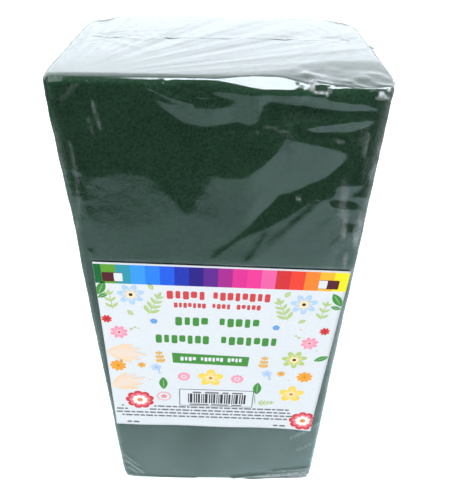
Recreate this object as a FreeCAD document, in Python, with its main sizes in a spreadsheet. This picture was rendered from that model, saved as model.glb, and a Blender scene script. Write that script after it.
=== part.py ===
import FreeCAD, Part
import os
import Sketcher

# A brick of wet floral foam standing on its small end, a clear shrink film closed around
# it, and a paper label stuck to the film's front.
#
# Frame: +Z up, origin at the middle of the face it stands on, front face towards -Y.
# The film came from a centre-folded roll: the fold is at -X, the long side weld at +X,
# and an end weld crosses the top and the bottom, set a little back from the middle.
# Gathered ears are left where an end weld runs off each side.

V = FreeCAD.Vector

# Millimetres, and degrees for label_tilt.
DIMENSIONS = {
    # foam block
    "foam_width": 100,
    "foam_depth": 70,
    "foam_length": 220,
    "foam_edge_round": 1.5,
    # film: the wall stands in for 0.03 mm film, which would be too thin to mesh
    "film_wall": 0.1,
    "film_gap": 0.5,
    "film_base_gap": 0.05,
    # label, and the layer of glue that holds it off the film
    "label_width": 94.4,
    "label_length": 101,
    "label_thickness": 0.15,
    "label_glue": 0.02,
    "label_centre_height": 101.5,
    "label_tilt": 1.8,
    # welds
    "weld_clearance": 0.05,
    "weld_bead_width": 1.0,
    "weld_bead_rise": 0.5,
    "weld_bead_round": 0.15,
    "end_weld_length": 88,
    "end_weld_setback": 4,
    "side_weld_length": 196,
    "flat_weld_width": 1.4,
    "flat_weld_thickness": 0.1,
    "flat_weld_recess": 0.02,
    # ears
    "ear_stand_off": 0.05,
    "ear_thickness": 1.6,
    "ear_height": 9,
    "ear_reach_weld_side": 3.5,
    "ear_reach_fold_side": 2.5,
    "ear_inset": 1.2,
    "ear_round": 0.3,
}

# Expressions used more than once.
FOAM_BASE = "(dims.film_wall + dims.film_base_gap)"
FILM_SHELL = "(dims.film_gap + dims.film_wall)"
FILM_TOP = f"({FOAM_BASE} + dims.foam_length + {FILM_SHELL})"
FILM_SIDE = f"(dims.foam_width / 2 + {FILM_SHELL})"

doc = FreeCAD.newDocument("floral_foam_brick")


def make_sheet():
    """One row per driving dimension: its name in column A, its value in column B."""
    sheet = doc.addObject("Spreadsheet::Sheet", "dims")
    for row, (name, value) in enumerate(DIMENSIONS.items(), start=1):
        sheet.set(f"A{row}", name)
        sheet.set(f"B{row}", str(value))
        sheet.setAlias(f"B{row}", name)
    return sheet


def make_body(name):
    body = doc.addObject("PartDesign::Body", name)
    body.Label = name
    return body


def add_sketch(body, name, plane, offset=None):
    """A sketch on one of the body's own planes, moved along the normal by an expression."""
    origin_plane = next(f for f in body.Origin.OriginFeatures if f.Role == plane)
    sketch = body.newObject("Sketcher::SketchObject", name)
    sketch.AttachmentSupport = [(origin_plane, "")]
    sketch.MapMode = "FlatFace"
    if offset:
        sketch.setExpression(".AttachmentOffset.Base.z", offset)
    return sketch


def bind(sketch, kind, references, name, expression):
    """A named dimension of a sketch, driven by the sheet."""
    index = sketch.addConstraint(Sketcher.Constraint(kind, *references, 1.0))
    sketch.renameConstraint(index, name)
    sketch.setExpression(f"Constraints.{name}", expression)


def draw_outline(sketch, corners):
    """Closed straight outline; each line's end is tied to the next line's start."""
    count = len(corners)
    for i in range(count):
        start = V(*corners[i], 0)
        end = V(*corners[(i + 1) % count], 0)
        sketch.addGeometry(Part.LineSegment(start, end), False)
    for i in range(count):
        sketch.addConstraint(Sketcher.Constraint("Coincident", i, 2, (i + 1) % count, 1))


def draw_rectangle(sketch, wide, tall, low=None):
    """Rectangle centred across the sketch, and up it too unless low gives its lower edge."""
    draw_outline(sketch, [(-1, 1), (1, 1), (1, 2), (-1, 2)])
    for line, kind in ((0, "Horizontal"), (1, "Vertical"), (2, "Horizontal"), (3, "Vertical")):
        sketch.addConstraint(Sketcher.Constraint(kind, line))
    bind(sketch, "DistanceX", (0, 1, 0, 2), "wide", wide)
    bind(sketch, "DistanceY", (1, 1, 1, 2), "tall", tall)
    bind(sketch, "DistanceX", (-1, 1, 0, 2), "right", f"({wide}) / 2")
    bind(sketch, "DistanceY", (-1, 1, 0, 2), "low", low or f"-({tall}) / 2")


def add_pad(body, sketch, name, length, both_ways=False):
    pad = body.newObject("PartDesign::Pad", name)
    pad.Profile = sketch
    pad.setExpression("Length", length)
    pad.Midplane = both_ways
    sketch.Visibility = False
    return pad


def round_edges(body, feature, name, radius, keep=lambda edge: True):
    """Fillet every edge of a feature that keep() accepts."""
    doc.recompute()
    edges = [f"Edge{i}" for i, e in enumerate(feature.Shape.Edges, start=1) if keep(e)]
    fillet = body.newObject("PartDesign::Fillet", name)
    fillet.Base = (feature, edges)
    fillet.setExpression("Radius", radius)
    return fillet


def rounded_block(name, grow, base, top, radius):
    """Upright block, larger than the foam by grow on each side, from base up to top."""
    body = make_body(name)
    sketch = add_sketch(body, f"{name}_plan", "XY_Plane", base)
    draw_rectangle(sketch, f"dims.foam_width + 2 * {grow}", f"dims.foam_depth + 2 * {grow}")
    pad = add_pad(body, sketch, f"{name}_pad", f"{top} - {base}")
    round_edges(body, pad, f"{name}_round", radius)
    return body


def cut_slot(body, name, plane, offset, wide, tall, low=None):
    """Slot right through one film wall, from a face of the wall at the given offset."""
    sketch = add_sketch(body, f"{name}_outline", plane, offset)
    draw_rectangle(sketch, wide, tall, low)
    doc.recompute()
    before = body.Shape.Volume
    pocket = body.newObject("PartDesign::Pocket", name)
    pocket.Profile = sketch
    pocket.Type = "Length"
    pocket.setExpression("Length", "dims.film_wall * 2")
    sketch.Visibility = False
    doc.recompute()
    if pocket.Shape.Volume >= before - 1e-6:
        raise RuntimeError(f"{name} removed nothing")


def make_foam_brick():
    top = f"({FOAM_BASE} + dims.foam_length)"
    return rounded_block("foam_brick", "0", FOAM_BASE, top, "dims.foam_edge_round")


def make_shrink_film():
    """Closed thin shell around the foam, slotted where the welds close it."""
    outer_round = f"dims.foam_edge_round + {FILM_SHELL}"
    film = rounded_block("shrink_film", FILM_SHELL, "0", FILM_TOP, outer_round)
    inner_round = "dims.foam_edge_round + dims.film_gap"
    ceiling = f"({FILM_TOP} - dims.film_wall)"
    cavity = rounded_block("film_cavity", "dims.film_gap", "dims.film_wall", ceiling, inner_round)
    hollow = film.newObject("PartDesign::Boolean", "film_hollow")
    hollow.setObjects([cavity])
    hollow.Type = "Cut"
    film.Tip = hollow
    doc.recompute()
    slack = "2 * dims.weld_clearance"
    end_length = f"dims.end_weld_length + {slack}"
    side_length = f"dims.side_weld_length + {slack}"
    side_low = f"{FILM_TOP} / 2 - ({side_length}) / 2"
    bead_width = f"dims.weld_bead_width + {slack}"
    flat_width = f"dims.flat_weld_width + {slack}"
    top_low = f"dims.end_weld_setback - ({bead_width}) / 2"
    bottom_low = f"dims.end_weld_setback - ({flat_width}) / 2"
    cut_slot(film, "top_slot", "XY_Plane", FILM_TOP, end_length, bead_width, top_low)
    cut_slot(film, "side_slot", "YZ_Plane", FILM_SIDE, bead_width, side_length, side_low)
    floor = "dims.film_wall"
    cut_slot(film, "bottom_slot", "XY_Plane", floor, end_length, flat_width, bottom_low)
    return film


def make_label_sticker():
    """Printed sheet, slightly turned, on the outside of the film."""
    body = make_body("label_sticker")
    sketch = add_sketch(body, "label_outline", "XZ_Plane")
    draw_rectangle(sketch, "dims.label_width", "dims.label_length")
    add_pad(body, sketch, "label_pad", "dims.label_thickness")
    body.Placement = FreeCAD.Placement(V(0, 0, 0), FreeCAD.Rotation(V(0, 1, 0), 1))
    face = f"-(dims.foam_depth / 2 + {FILM_SHELL} + dims.label_glue)"
    body.setExpression(".Placement.Base.y", face)
    body.setExpression(".Placement.Base.z", "dims.label_centre_height")
    body.setExpression(".Placement.Rotation.Angle", "dims.label_tilt")
    return body


def make_bead(name, length):
    """Weld bead with rounded outer edges, along X and rising along +Z in its own frame."""
    body = make_body(name)
    sketch = add_sketch(body, f"{name}_profile", "YZ_Plane")
    rise = "dims.film_wall + dims.weld_bead_rise"
    draw_rectangle(sketch, "dims.weld_bead_width", rise, low="0")
    pad = add_pad(body, sketch, f"{name}_pad", length, both_ways=True)
    doc.recompute()
    crest = pad.Shape.BoundBox.ZMax
    is_outer = lambda edge: edge.BoundBox.ZMin > crest - 1e-6
    round_edges(body, pad, f"{name}_round", "dims.weld_bead_round", is_outer)
    return body


def make_top_end_weld():
    body = make_bead("top_end_weld", "dims.end_weld_length")
    body.setExpression(".Placement.Base.y", "dims.end_weld_setback")
    body.setExpression(".Placement.Base.z", f"{FILM_TOP} - dims.film_wall")
    return body


def make_side_weld():
    """The bead turned a quarter about Y, so that it rises along +X and runs along Z."""
    body = make_bead("side_weld", "dims.side_weld_length")
    body.Placement = FreeCAD.Placement(V(0, 0, 0), FreeCAD.Rotation(V(0, 1, 0), 90))
    body.setExpression(".Placement.Base.x", f"{FILM_SIDE} - dims.film_wall")
    body.setExpression(".Placement.Base.z", f"{FILM_TOP} / 2")
    return body


def make_bottom_end_weld():
    """Pressed flat by the brick standing on it, just inside the film's underside."""
    body = make_body("bottom_end_weld")
    sketch = add_sketch(body, "bottom_end_weld_outline", "XY_Plane")
    draw_rectangle(sketch, "dims.end_weld_length", "dims.flat_weld_width")
    add_pad(body, sketch, "bottom_end_weld_pad", "dims.flat_weld_thickness")
    body.setExpression(".Placement.Base.y", "dims.end_weld_setback")
    body.setExpression(".Placement.Base.z", "dims.flat_weld_recess")
    return body


def make_ear(name, side, end, reach):
    """Gathered tab of film where an end weld runs off the side of the brick.

    In its own frame it reaches along +X and its tip is towards +Z.  side is 1 at +X and
    -1 at -X; end is 1 at the top and -1 at the bottom.
    """
    body = make_body(name)
    sketch = add_sketch(body, f"{name}_outline", "XZ_Plane")
    draw_outline(sketch, [(0, -9), (2, -5), (3, -2), (1, 0), (0, 0)])
    sketch.addConstraint(Sketcher.Constraint("Coincident", 4, 1, -1, 1))
    sketch.addConstraint(Sketcher.Constraint("Vertical", 4))
    sketch.addConstraint(Sketcher.Constraint("Horizontal", 3))
    bind(sketch, "DistanceY", (0, 1, 4, 1), "height", "dims.ear_height")
    bind(sketch, "DistanceX", (4, 1, 3, 1), "shoulder", f"{reach} * 0.45")
    bind(sketch, "DistanceX", (4, 1, 2, 1), "reach", reach)
    bind(sketch, "DistanceY", (2, 1, 4, 1), "tip_drop", "dims.ear_height * 0.25")
    bind(sketch, "DistanceX", (4, 1, 1, 1), "waist", f"{reach} * 0.6")
    bind(sketch, "DistanceY", (1, 1, 4, 1), "waist_drop", "dims.ear_height * 0.6")
    pad = add_pad(body, sketch, f"{name}_pad", "dims.ear_thickness", both_ways=True)
    round_edges(body, pad, f"{name}_round", "dims.ear_round")
    turn = FreeCAD.Rotation(V(0, 0, 1), 0 if side > 0 else 180)
    flip = FreeCAD.Rotation(V(1, 0, 0), 0 if end > 0 else 180)
    body.Placement = FreeCAD.Placement(V(0, 0, 0), turn.multiply(flip))
    body.setExpression(".Placement.Base.x", f"{side} * ({FILM_SIDE} + dims.ear_stand_off)")
    body.setExpression(".Placement.Base.y", "dims.end_weld_setback")
    height = f"{FILM_TOP} - dims.ear_inset" if end > 0 else "dims.ear_inset"
    body.setExpression(".Placement.Base.z", height)
    return body


def write_parts(parts):
    """Stop on anything invalid, then write each sub-part under its own label."""
    for item in doc.Objects:
        bad = [state for state in item.State if state in ("Invalid", "Error")]
        if bad:
            raise RuntimeError(f"{item.Name}: {bad}")
    os.makedirs("parts", exist_ok=True)
    for part in parts:
        if part.Shape.isNull() or not part.Shape.isValid():
            raise RuntimeError(f"{part.Label} has no valid shape")
        part.Shape.exportStep(os.path.join("parts", f"{part.Label}.step"))
        box = part.Shape.BoundBox
        low = (round(box.XMin, 2), round(box.YMin, 2), round(box.ZMin, 2))
        high = (round(box.XMax, 2), round(box.YMax, 2), round(box.ZMax, 2))
        print(part.Label, len(part.Shape.Solids), round(part.Shape.Volume, 2), low, high)


make_sheet()
doc.recompute()
subparts = [
    make_foam_brick(),
    make_shrink_film(),
    make_label_sticker(),
    make_top_end_weld(),
    make_side_weld(),
    make_bottom_end_weld(),
    make_ear("ear_top_right", 1, 1, "dims.ear_reach_weld_side"),
    make_ear("ear_top_left", -1, 1, "dims.ear_reach_fold_side"),
    make_ear("ear_bottom_right", 1, -1, "dims.ear_reach_weld_side"),
    make_ear("ear_bottom_left", -1, -1, "dims.ear_reach_fold_side"),
]
doc.recompute()
write_parts(subparts)
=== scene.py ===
import math

import bpy
import numpy as np
from mathutils import Matrix, Vector


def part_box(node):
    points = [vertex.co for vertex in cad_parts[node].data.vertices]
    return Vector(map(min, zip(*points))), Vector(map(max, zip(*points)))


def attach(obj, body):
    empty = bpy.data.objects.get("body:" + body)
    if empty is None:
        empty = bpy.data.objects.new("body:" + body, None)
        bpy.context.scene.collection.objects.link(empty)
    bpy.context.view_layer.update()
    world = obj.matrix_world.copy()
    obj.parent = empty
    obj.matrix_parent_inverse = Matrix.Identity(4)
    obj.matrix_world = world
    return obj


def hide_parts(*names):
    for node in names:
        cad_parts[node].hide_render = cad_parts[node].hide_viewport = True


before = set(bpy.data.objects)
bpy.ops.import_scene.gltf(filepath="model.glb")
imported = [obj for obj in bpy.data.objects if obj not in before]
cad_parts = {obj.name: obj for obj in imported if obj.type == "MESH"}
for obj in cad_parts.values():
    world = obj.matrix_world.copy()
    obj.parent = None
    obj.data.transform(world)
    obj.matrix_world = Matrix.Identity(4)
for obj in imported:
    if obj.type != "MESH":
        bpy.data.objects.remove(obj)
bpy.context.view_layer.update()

# A floral foam brick in clear shrink film, with a printed label stuck to its front.
# Shapes and EYE are in millimetres in the CAD frame (front face towards -Y), and
# mesh_object() makes them metres.  Materials, lights and the floor are in metres.

MM = 0.001
BODY = "root"


def cad_box(node):
    """Lowest and highest corner of a CAD node, in millimetres."""
    low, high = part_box(node)
    return np.array(low) / MM, np.array(high) / MM


FOAM_LOW, FOAM_HIGH = cad_box("foam_brick")
FILM_LOW, FILM_HIGH = cad_box("shrink_film")
LABEL_LOW, LABEL_HIGH = cad_box("label_sticker")
WELD_LOW, WELD_HIGH = cad_box("top_end_weld")

FOAM_HALF = (FOAM_HIGH - FOAM_LOW) / 2
FOAM_ROUND = 1.6  # radius of the block's edges
MID_Z = FOAM_LOW[2] + FOAM_HALF[2]
TOP = FOAM_HIGH[2]

FILM_WALL = 0.1
FILM_HALF = (FILM_HIGH - FILM_LOW) / 2 - FILM_WALL / 2
FILM_ROUND = 2.1
FRONT_SLACK = 0.25  # how far the film stands off the front's upper part
WELD_WIDTH = 1.0
WELD_Y = WELD_LOW[1] + WELD_WIDTH / 2
WELD_END = WELD_HIGH[0]

LABEL_TURN = math.radians(1.8)
LABEL_SIZE = (94.4, 101.0)
LABEL_FACE = LABEL_LOW[1]
LABEL_MIDDLE = (LABEL_LOW[2] + LABEL_HIGH[2]) / 2
PAPER = 0.14  # the label's thickness
INK_GAP, INK_STEP = 0.006, 0.018  # ink above the paper, and each layer of it above the last

EYE = (2.0, -176.0, 267.5)  # where the camera stands
YAW, PITCH, ROLL = math.radians(0.2), math.radians(37.8), math.radians(0.9)
LENS = 35.6
WHITE_REACH = 325.0  # the white ground that the film mirrors ends at Y = -WHITE_REACH


# ------ noise and strokes

def lattice(i, j, k, seed):
    """Repeatable value from -1 to 1 at whole-number points."""
    n = (i * 73856093) ^ (j * 19349663) ^ (k * 83492791) ^ (seed * 26544357)
    n = ((n ^ (n >> 13)) * 1274126177) & 0xFFFFFFFF
    n = ((n ^ (n >> 15)) * 2246822519) & 0xFFFFFFFF
    return ((n ^ (n >> 16)) & 0xFFFF) / 32767.5 - 1.0


def noise(points, size, seed):
    """Smooth 3-D noise from -1 to 1; size is its spacing, one number or one per axis."""
    q = points / np.asarray(size, float)
    cell = np.floor(q).astype(np.int64)
    f = q - cell
    f = f * f * f * (f * (f * 6 - 15) + 10)
    total = np.zeros(len(points))
    for a in (0, 1):
        for b in (0, 1):
            for c in (0, 1):
                weight = np.abs(1 - a - f[:, 0]) * np.abs(1 - b - f[:, 1])
                weight = weight * np.abs(1 - c - f[:, 2])
                total += weight * lattice(cell[:, 0] + a, cell[:, 1] + b, cell[:, 2] + c, seed)
    return total


def fractal(points, size, seed):
    """Three layers of noise, each half the size and strength of the last."""
    size = np.asarray(size, float)
    return sum(noise(points, size / 2**i, seed + i) / 2**i for i in range(3)) / 1.6


def ridged(points, size, seed, sharpness):
    """Thin raised lines where the noise passes through zero, from 0 to 1."""
    return (1 - np.abs(noise(points, size, seed))) ** (sharpness * 3)


def smooth(value, start, end):
    """0 up to start, 1 from end, and an even rise between them."""
    t = np.clip((value - start) / (end - start), 0, 1)
    return t * t * (3 - 2 * t)


def columns(*parts):
    """Points from their coordinates, each an array or one number for all of them."""
    return np.stack(np.broadcast_arrays(*parts), -1)


def stroke(a, b, path, width):
    """1 along a path across a face, falling off to its sides as a bell curve."""
    nearest = np.full(len(a), 1e9)
    if len(path) == 1:
        nearest = (a - path[0][0]) ** 2 + (b - path[0][1]) ** 2
    for (a0, b0), (a1, b1) in zip(path, path[1:]):
        da, db = a1 - a0, b1 - b0
        t = np.clip(((a - a0) * da + (b - b0) * db) / (da * da + db * db), 0, 1)
        nearest = np.minimum(nearest, (a - a0 - t * da) ** 2 + (b - b0 - t * db) ** 2)
    return np.exp(-nearest / (2 * width * width))


# ------ meshes

def axis_steps(half, radius, zones):
    """Positions from -half to half: each zone's (end, step) in turn, closer over the edges."""
    inner = half - radius
    flat = [-inner]
    for end, step in zones:
        end = min(end, inner)
        count = max(1, round((end - flat[-1]) / step))
        flat.extend(np.linspace(flat[-1], end, count + 1)[1:])
    edge = inner + radius * np.tan(np.radians([11.25, 22.5, 33.75, 45]))
    return np.concatenate([-edge[::-1], flat, edge])


def rounded_block(half, radius, zones):
    """A box with rounded edges as a quad mesh: points, outward normals and faces."""
    steps = [axis_steps(h, radius, z) for h, z in zip(half, zones)]
    points, faces, count = [], [], 0
    for axis in range(3):
        u, v = (axis + 1) % 3, (axis + 2) % 3
        grid_u, grid_v = np.meshgrid(steps[u], steps[v], indexing="ij")
        rows, cols = grid_u.shape
        corner = np.arange(rows * cols).reshape(rows, cols)
        quads = np.stack([corner[:-1, :-1], corner[1:, :-1], corner[1:, 1:], corner[:-1, 1:]], -1)
        for side in (-1, 1):
            sheet = np.empty((rows * cols, 3))
            sheet[:, axis] = side * half[axis]
            sheet[:, u] = grid_u.ravel()
            sheet[:, v] = grid_v.ravel()
            points.append(sheet)
            order = quads if side > 0 else quads[..., ::-1]
            faces.append(order.reshape(-1, 4) + count)
            count += rows * cols
    points, faces = np.concatenate(points), np.concatenate(faces)
    keys = np.round(points * 1e4).astype(np.int64)
    _, first, place = np.unique(keys, axis=0, return_index=True, return_inverse=True)
    points, faces = points[first], place.ravel()[faces]
    flat = np.asarray(half) - radius
    inner = np.clip(points, -flat, flat)
    outward = points - inner
    outward /= np.linalg.norm(outward, axis=1)[:, None]
    return inner + outward * radius, outward, faces


def sheet_faces(rows, cols, flip=False):
    """Faces of a closed thin sheet: a grid of points, the same grid behind it, and the rim."""
    corner = np.arange(rows * cols).reshape(rows, cols)
    quads = np.stack([corner[:-1, :-1], corner[:-1, 1:], corner[1:, 1:], corner[1:, :-1]], -1)
    quads = quads.reshape(-1, 4)
    rim = [*corner[0], *corner[1:, -1], *corner[-1, -2::-1], *corner[-2:0:-1, 0]]
    behind = rows * cols
    faces = quads.tolist() + (quads[:, ::-1] + behind).tolist()
    for a, b in zip(rim, rim[1:] + rim[:1]):
        faces.append([b, a, a + behind, b + behind])
    return [face[::-1] for face in faces] if flip else faces


def linked(name, data):
    """An object of that mesh, light or camera, in the scene."""
    obj = bpy.data.objects.new(name, data)
    bpy.context.scene.collection.objects.link(obj)
    return obj


def mesh_object(name, points, faces, mat, smooth_shading=True):
    """A mesh from points in millimetres and a list or array of faces."""
    mesh = bpy.data.meshes.new(name)
    mesh.from_pydata((np.asarray(points) * MM).tolist(), [], [list(map(int, f)) for f in faces])
    mesh.polygons.foreach_set("use_smooth", [smooth_shading] * len(mesh.polygons))
    mesh.materials.append(mat)
    mesh.update()
    return linked(name, mesh)


def set_values(obj, name, values):
    """One number per vertex, which the material reads by name."""
    attribute = obj.data.attributes.new(name, "FLOAT", "POINT")
    attribute.data.foreach_set("value", np.asarray(values, np.float32))


# ------ materials

class Nodes:
    """Builds a material's or the world's nodes: add() makes one, others take its outputs."""

    def __init__(self, owner):
        self.owner = owner
        owner.use_nodes = True
        self.tree = owner.node_tree
        self.tree.nodes.clear()

    def add(self, kind, settings=None, **inputs):
        node = self.tree.nodes.new("ShaderNode" + kind)
        for key, value in (settings or {}).items():
            setattr(node, key, value)
        for key, value in inputs.items():
            self.put(node.inputs[key.replace("_", " ")], value)
        return node

    def put(self, socket, value):
        if isinstance(value, bpy.types.NodeSocket):
            self.tree.links.new(value, socket)
        else:
            socket.default_value = value

    def joined(self, node, *values):
        """A node's first output, once its inputs are given in order."""
        for socket, value in zip(node.inputs, values):
            self.put(socket, value)
        return node.outputs[0]

    def maths(self, operation, a, b=0.0, clamp=False):
        return self.joined(self.add("Math", {"operation": operation, "use_clamp": clamp}), a, b)

    def mix(self, factor, a, b):
        """A mix of two colours; sockets 6, 7 and 2 are the colour ones."""
        node = self.add("Mix", {"data_type": "RGBA"}, Factor=factor)
        self.put(node.inputs[6], a)
        self.put(node.inputs[7], b)
        return node.outputs[2]

    def mix_shaders(self, factor, a, b):
        return self.joined(self.add("MixShader"), factor, a, b)

    def span(self, value, low=0.0, high=1.0, start=0.0, end=1.0):
        """A value held between low and high, stretched to run from start to end."""
        return self.joined(self.add("MapRange"), value, low, high, start, end)

    def grain(self, scale, detail, rough=0.55):
        """Noise over the object's own space, per metre, stretched to run from 0 to 1."""
        place = self.add("TexCoord").outputs["Object"]
        tex = self.add("TexNoise", Vector=place, Scale=scale, Detail=detail, Roughness=rough)
        return self.span(tex.outputs["Fac"], 0.35, 0.65)

    def cells(self, scale, low, high):
        """Round cells: 0 at each cell's middle, 1 away from it."""
        place = self.add("TexCoord").outputs["Object"]
        tex = self.add("TexVoronoi", Vector=place, Scale=scale)
        return self.span(tex.outputs["Distance"], low, high)

    def bump(self, height, distance, strength):
        return self.add("Bump", Height=height, Distance=distance, Strength=strength).outputs[0]

    def principled(self, colour, specular, **inputs):
        inputs = dict(inputs, Base_Color=colour, Specular_IOR_Level=specular)
        return self.add("BsdfPrincipled", **inputs).outputs[0]

    def done(self, shader, output="OutputMaterial"):
        self.add(output, Surface=shader)
        return self.owner


def new_material(name):
    return Nodes(bpy.data.materials.new(name))


def srgb(r, g, b):
    """A colour given as 0 to 255 as the linear values that Blender takes."""
    values = [c / 255 for c in (r, g, b)]
    linear = [c / 12.92 if c <= 0.04045 else ((c + 0.055) / 1.055) ** 2.4 for c in values]
    return (*linear, 1.0)


def foam_material():
    """Matt open-cell foam: fine grain, slow changes of tone, and scattered pits and rarer holes
    whose middles are darkened by painted shade.
    """
    n = new_material("foam")
    fine = n.grain(1500, 4, 0.7)
    coarse = n.grain(60, 3)
    pits_and_shade = n.cells(800, 0.05, 0.35)
    holes_and_shade = n.cells(42, 0.014, 0.026)
    tone = n.mix(coarse, srgb(32, 68, 48), srgb(41, 80, 57))
    tone = n.mix(n.maths("MULTIPLY", fine, 0.45), tone, srgb(72, 120, 89))
    # painted shade: the pits, and the rare holes more so, are darker towards their middles
    tone = n.mix(pits_and_shade, srgb(29, 61, 43), tone)
    tone = n.mix(holes_and_shade, srgb(12, 27, 18), tone)
    height = n.maths("ADD", n.maths("MULTIPLY", fine, 0.5), n.maths("MULTIPLY", pits_and_shade, 0.5))
    normal = n.bump(n.maths("ADD", height, holes_and_shade), 0.0002, 0.6)
    return n.done(n.principled(tone, 0.2, Roughness=0.95, Normal=normal))


def paper_material():
    """Coated paper, with a faint fibre."""
    n = new_material("label_paper")
    fibre = n.grain(2500, 3)
    tone = n.mix(fibre, srgb(213, 220, 227), srgb(221, 228, 235))
    rough = n.span(fibre, start=0.4, end=0.5)
    normal = n.bump(fibre, 0.00002, 0.4)
    return n.done(n.principled(tone, 0.2, Roughness=rough, Normal=normal))


def ink_material():
    """Printed ink: each shape's own colour, slightly mottled."""
    n = new_material("label_ink")
    ink = n.add("Attribute", {"attribute_name": "ink"}).outputs["Color"]
    mottle = n.grain(3000, 2)
    tone = n.mix(n.maths("MULTIPLY", mottle, 0.012), ink, srgb(230, 230, 230))
    return n.done(n.principled(tone, 0.15, Roughness=n.span(mottle, start=0.35, end=0.45)))


def film_material(name, haze, roughness=0.05):
    """Thin clear film: see-through, reflecting more at a low angle, whitened by haze.

    Both faces of a thin film reflect, so its share is 2F / (1 + F) of one face's F.  Its
    per-vertex attribute adds haze, and a painted highlight, where the film is gathered or creased.
    """
    n = new_material(name)
    fine = n.grain(900, 3)
    normal = n.bump(fine, 0.00002, 0.3)
    one_face = n.add("Fresnel", IOR=1.5, Normal=normal).outputs[0]
    both = n.maths("DIVIDE", n.maths("MULTIPLY", one_face, 2.0), n.maths("ADD", one_face, 1.0))
    rough = n.span(n.grain(120, 2), start=roughness, end=roughness * 2)
    clear = n.add("BsdfTransparent", Color=(0.97, 0.985, 0.98, 1)).outputs[0]
    shine = n.add("BsdfGlossy", Color=(1, 1, 1, 1), Roughness=rough, Normal=normal)
    film = n.mix_shaders(both, clear, shine.outputs[0])
    # the whitish layer: haze, and a painted highlight where creases and folds catch the light
    white = n.add("BsdfDiffuse", Color=srgb(226, 234, 240), Normal=normal).outputs[0]
    haze_and_highlight = n.add("Attribute", {"attribute_name": "haze_and_highlight"}).outputs["Fac"]
    haze_and_highlight_share = n.maths("MULTIPLY", n.maths("ADD", haze_and_highlight, haze), n.maths("ADD", fine, 0.6), True)
    return n.done(n.mix_shaders(haze_and_highlight_share, film, white))


# ------ foam

def crush(points, half, top):
    """Where the film's pull has rounded the block's edges, as a movement of each point."""
    x, y, z = points.T
    at = points.copy()

    def cut(lean, depth):
        """Bring what is past a plane back to it, softly; lean is its angle from upright."""
        facing = np.array([0, -math.cos(lean), math.sin(lean)])
        over = (at[:, 1] + half[1]) * facing[1] + (at[:, 2] - top) * facing[2] + depth
        at[:] -= 0.5 * (over + np.sqrt(over**2 + 0.03))[:, None] * facing

    # the top front edge is pressed to a slant from the middle to its right end ...
    cut(math.radians(40), 0.1 + 2.2 * smooth(x, -12, 19) - 1.3 * smooth(x, 18, 48))
    # ... its edges are rounded again, 12 degrees at a time ...
    for lean in np.radians(range(12, 85, 12)):
        cut(lean, FOAM_ROUND * (math.sin(lean) + math.cos(lean) - 1) - 0.05)
    # ... and the top leans down towards it there
    cut(math.radians(80.4), 2.5 * smooth(x, 4, 36))
    move = (at - points) * smooth(x, -14, -8)[:, None]
    # the left front edge, slightly dented below the top
    reach = np.hypot(x + half[0], y + half[1])
    along = np.exp(-((z - 170) / 15) ** 2)
    move += (0.6 * along * np.exp(-(reach**2) / 30))[:, None] * np.array([0.8, 0.5, 0])
    # every corner, the rear ones at the top the most
    for sx in (-1, 1):
        for sy in (-1, 1):
            for level, sz in ((top, 1), (FOAM_LOW[2], -1)):
                depth, spread = 0.8 if sz < 0 else 0.5, 24
                if sy > 0 and sz > 0:
                    depth, spread = 2.6, 70
                corner = np.array([sx * half[0], sy * half[1], level])
                reach = np.linalg.norm(points - corner, axis=1)
                inward = np.array([-sx, -sy, -0.8 * sz]) * 0.6
                move += (depth * np.exp(-(reach**2) / spread))[:, None] * inward
    return move


def make_foam(mat):
    """The block, with shallow dents and a grainy surface."""
    step = 1.25
    points, outward, faces = rounded_block(FOAM_HALF, FOAM_ROUND, [[(math.inf, step)]] * 3)
    points = points + np.array([0, 0, MID_Z])
    dents = 0.12 * fractal(points, 26, 11) - 0.12 + 0.05 * fractal(points, 2.6, 15)
    dents -= 0.35 * smooth(noise(points, 14, 21), 0.82, 0.96)
    move = outward * np.minimum(dents, -0.02)[:, None]
    # the film's deeper dips press into the front
    relief = sample_relief(points[:, 0], points[:, 2]) + FRONT_SLACK
    move[:, 1] -= towards(outward, 1, -1) * np.minimum(0, relief + 0.3)
    points = points + move
    points = points + crush(points, FOAM_HALF, TOP)
    points[:, 2] = np.maximum(points[:, 2], FOAM_LOW[2])
    return mesh_object("foam_block", points, faces, mat)


# ------ film

# Outlines on the front, as (x, z): where the film tips to mirror the white ground ...
BRIGHT_PATCHES = [
    [(-19, 214), (-10, 212), (-4, 211.5), (2, 212), (5.5, 213.5), (5.5, 206.5), (0, 205.5),
     (-5.5, 205.5), (-11, 207), (-15.5, 210.5)],
    [(5.5, 213.5), (14, 213.5), (11.5, 206), (9, 205), (5.5, 207)],
    [(-6, 216), (-1, 217.5), (15, 216.5), (25, 216), (35, 214.5), (42.5, 213.5), (47.5, 211.5),
     (47, 211), (32, 211.5), (22, 212.5), (14, 213.5), (5, 213.5)],
    [(23.5, 206), (30, 207), (39, 208), (47.5, 209), (46, 207), (40.5, 204.5), (35.5, 204),
     (28, 204.5)],
    [(20.5, 206), (21.5, 202.5), (30, 201), (36.5, 199.5), (40, 197.5), (39.5, 195.5),
     (35.5, 189.5), (30, 186), (24.5, 183), (17.5, 177.5), (14, 173.5), (6.5, 167), (0, 159.5),
     (-3.5, 154.5), (-6, 180), (-2, 189.5), (2.5, 188.5), (9, 189), (12.5, 192), (17.5, 197.5),
     (19.5, 202)],
    [(-46, 178), (-40, 188), (-30, 190), (-22, 189), (-14, 178)],
    [(37, 187), (47, 187), (48, 182), (38, 182)],
]
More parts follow.
